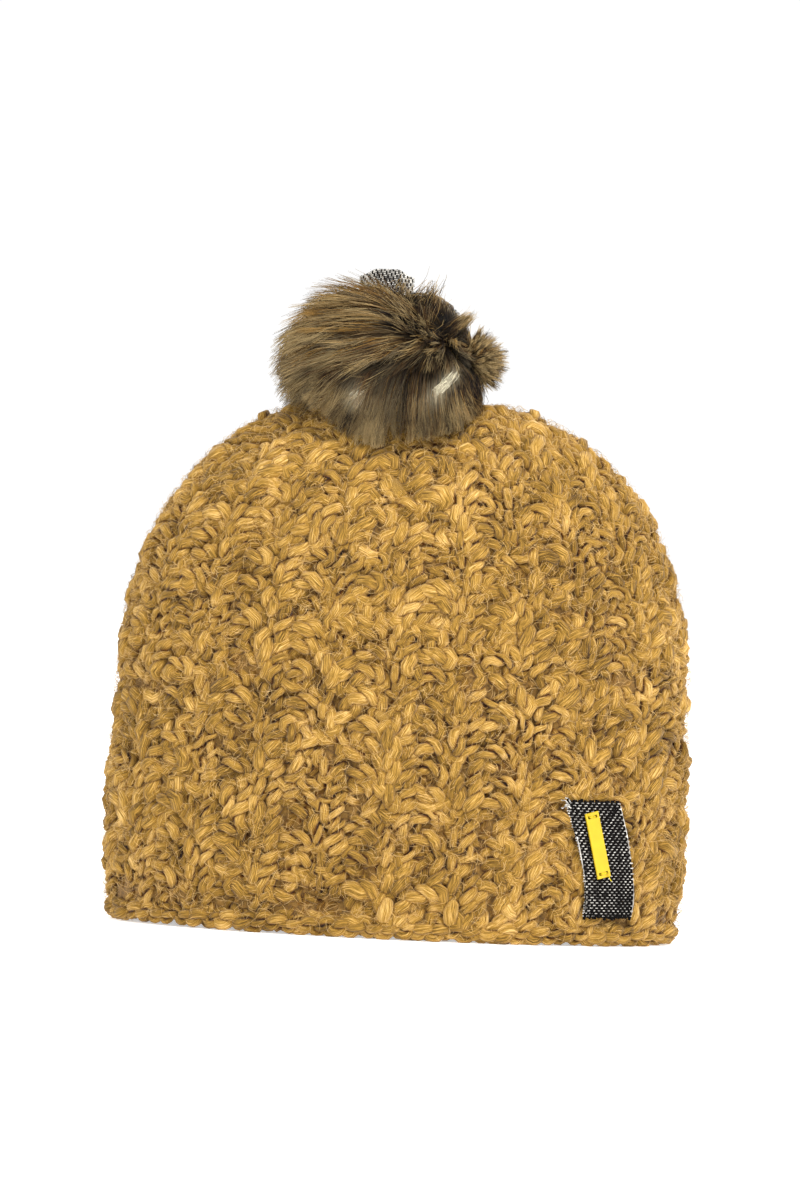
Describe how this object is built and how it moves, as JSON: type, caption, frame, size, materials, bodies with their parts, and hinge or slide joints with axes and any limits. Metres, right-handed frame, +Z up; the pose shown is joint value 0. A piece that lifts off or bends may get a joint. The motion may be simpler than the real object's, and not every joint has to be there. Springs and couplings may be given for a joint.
{
  "type": "pom pom beanie",
  "caption": "Chunky rib-knit winter hat with an open brim, a rounded crown, a fur pom pom, a folded tweed tail behind it and a small tweed patch with a bar tag.",
  "frame": {"origin": "centre of the brim's underside, on the surface the hat stands on", "axes": "+Z up through the crown, +X to the side with the patch, -Y out of the front of the hat"},
  "size_m": [0.2526, 0.1206, 0.2868],
  "materials": {
    "knit": "chunky two-ply wool, one by one rib",
    "knit_edge": "two-ply wool, cast-on chain",
    "fleece": "brushed fleece",
    "sewing_thread": "cotton thread",
    "label_cloth": "woven ribbon, blank",
    "tweed": "black and off-white wool weave",
    "tweed_thread": "off-white wool thread",
    "yellow_bar": "soft moulded bar, blank",
    "yellow_thread": "polyester thread",
    "button": "satin",
    "hide": "suede back of the fur",
    "fur": "long soft fur, darker at the root",
    "stuffing": "loose fibre fill"
  },
  "bodies": {
    "hat": {"knit_body": "knit", "cast_on_edge": "knit_edge", "crown_drawstring": "knit_edge", "ear_band": "fleece", "ear_band_stitches": "sewing_thread", "care_label": "label_cloth", "tweed_patch": "tweed", "patch_stitches": "tweed_thread", "name_tag": "yellow_bar", "tag_threads": "yellow_thread", "anchor_button": "button", "button_tie": "knit_edge"},
    "shank": {"pom_shank": "knit_edge"},
    "pom": {"pom_base_disc": "hide", "pom_gather_thread": "sewing_thread", "fur_hide": "hide", "fur_pile": "fur", "pom_stuffing": "stuffing"},
    "tail": {"tweed_tail": "tweed", "tail_stitches": "tweed_thread"}
  },
  "joints": [
    {"name": "pom_nod", "type": "hinge", "parent": "hat", "child": "shank", "pos_m": [0, 0, 0.225], "axis": [1, 0, 0], "range_deg": [-7, 22], "stiffness_Nm_per_rad": 0.06, "deforming": ["fur_pile"]},
    {"name": "pom_sway", "type": "hinge", "parent": "shank", "child": "pom", "pos_m": [0, 0, 0.2285], "axis": [0, 1, 0], "range_deg": [-18, 18], "stiffness_Nm_per_rad": 0.06, "deforming": ["fur_pile"]},
    {"name": "tail_flap", "type": "hinge", "parent": "hat", "child": "tail", "pos_m": [0, 0.0304, 0.2192], "axis": [-1, 0, 0], "range_deg": [0, 95], "stiffness_Nm_per_rad": 0.01}
  ]
}
